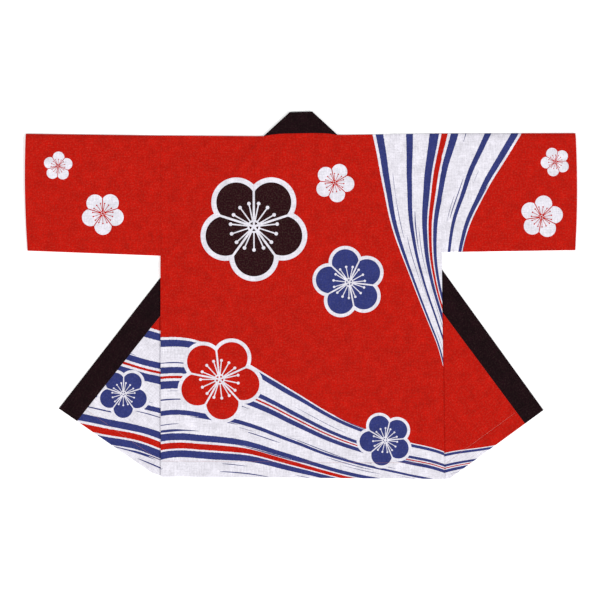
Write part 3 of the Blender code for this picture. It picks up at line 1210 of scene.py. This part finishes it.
def floor_finish():
    material, wiring, surface = new_material("pale studio floor")
    place = wiring.add("ShaderNodeTexCoord").outputs["Object"]
    pale = wiring.mix(wiring.noise(place, *FLOOR_NOISE), *FLOOR_SHADES)
    wiring.feed_all(
        surface, Base_Color=pale, Roughness=FLOOR_ROUGHNESS, Specular_IOR_Level=FLOOR_SPECULAR,
        Emission_Color=(1, 1, 1, 1), Emission_Strength=LIGHT_TABLE,
    )
    return material


dress(floor, floor_finish())
print("the floor glows at", LIGHT_TABLE)

# %% [markdown]
# ## Hem stitches
#
# Each hem is turned in and sewn down with one row of thread, 37 mm from the edge on the back and
# 34 mm on the fronts. One stitch is a short thread whose ends dip into the cloth. It is modelled
# once, repeated by an Array, and each row is then laid along its hem and pressed onto the cloth
# below it, so it follows every crease.

# %% One stitch, and a row of them
THREAD_RADIUS = 0.00022
STITCH_LENGTH = 0.0026
STITCH_PITCH = 0.0031
STITCH_DIP = 0.00030
STITCH_CUTS = (0.2, 0.5, 0.8)
STITCH_END = STITCH_LENGTH / 20
END_TAPER = 0.5
SEARCH_HEIGHT = 0.05


def stitch_row(name, count):
    """A straight row of stitches along +X from the origin, at height 0."""
    deselect_all()
    bpy.ops.mesh.primitive_cylinder_add(
        vertices=6, radius=THREAD_RADIUS, depth=STITCH_LENGTH,
        location=(STITCH_LENGTH / 2, 0, 0), rotation=(0, math.pi / 2, 0),
    )
    row = bpy.context.object
    row.name = name
    bpy.ops.object.transform_apply()
    score(row, [((STITCH_LENGTH * part, 0, 0), (1, 0, 0)) for part in STITCH_CUTS])
    for end in (0, STITCH_LENGTH):
        set_mode("EDIT")
        bpy.ops.mesh.select_all(action="DESELECT")
        set_mode("OBJECT")
        for vertex in row.data.vertices:
            vertex.select = abs(vertex.co.x - end) < STITCH_END
        set_mode("EDIT")
        bpy.ops.transform.resize(value=(1, END_TAPER, END_TAPER))
        bpy.ops.transform.translate(value=(0, 0, -STITCH_DIP))
        set_mode("OBJECT")
    repeat = row.modifiers.new("row", "ARRAY")
    repeat.count = count
    repeat.use_relative_offset = False
    repeat.use_constant_offset = True
    repeat.constant_offset_displace = (STITCH_PITCH, 0, 0)
    bpy.ops.object.modifier_apply(modifier=repeat.name)
    return row


def height_on(cloth, x, y):
    """The height of the cloth's top below a point high above it."""
    hit, place, normal, index = cloth.ray_cast((x, y, SEARCH_HEIGHT), (0, 0, -1))
    return place.z if hit else None


def sew(name, cloth, start, end):
    """A row of stitches from start to end, resting on the cloth."""
    start, along, across = line_between(start, end)
    length = math.dist(start, end)
    row = stitch_row(name, max(1, int(length / STITCH_PITCH)))
    points = points_of(row)
    level = 0.0
    for point in points:
        x, y = start + along * point[0] + across * point[1]
        found = height_on(cloth, x, y)
        level = level if found is None else found
        point[:] = (x, y, point[2] + level + THREAD_RADIUS / 2)
    put_points(row, points)
    take(row)
    bpy.ops.object.shade_smooth()
    print(name, len(row.data.polygons), "faces")
    return row


# %% Sew the hems
THREAD_SHADES = ((0.56, 0.18, 0.14, 1), (0.72, 0.38, 0.32, 1))
TWIST_NOISE = (2500.0, 1.0)
TWIST_HEIGHT = THREAD_RADIUS / 4
THREAD_ROUGHNESS = 0.6

rows = [sew("hem_stitches_back", back, *back_stitch_line())]
for half in HALVES:
    begin, end = np.array(flap_stitch_line(half)) * (half.sign, 1)
    rows.append(sew("hem_stitches_" + half.name, fronts[half.name], begin, end))


def thread_finish():
    material, wiring, surface = new_material("hem thread")
    place = wiring.add("ShaderNodeTexCoord").outputs["Object"]
    twist = wiring.noise(place, *TWIST_NOISE)
    bump = wiring.add("ShaderNodeBump")
    wiring.feed_all(bump, Height=twist, Distance=TWIST_HEIGHT)
    pink = wiring.mix(twist, *THREAD_SHADES)
    wiring.feed_all(surface, Base_Color=pink, Roughness=THREAD_ROUGHNESS, Normal=bump.outputs[0])
    return material


THREAD = thread_finish()
for row in rows:
    dress(row, THREAD)

# %% [markdown]
# ## Hand over
#
# Every shell takes the place of its solid and rides on the coat's one body, as do the rows of
# stitches.

# %% Bodies
for piece in cloths:
    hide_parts(piece.name.replace("_cloth", ""))
    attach(piece, "root")
    print(piece.name, "stands for its solid")
for row in rows:
    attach(row, "root")

Cut = namedtuple("Cut", "front_area sleeve_round sleeve_length")
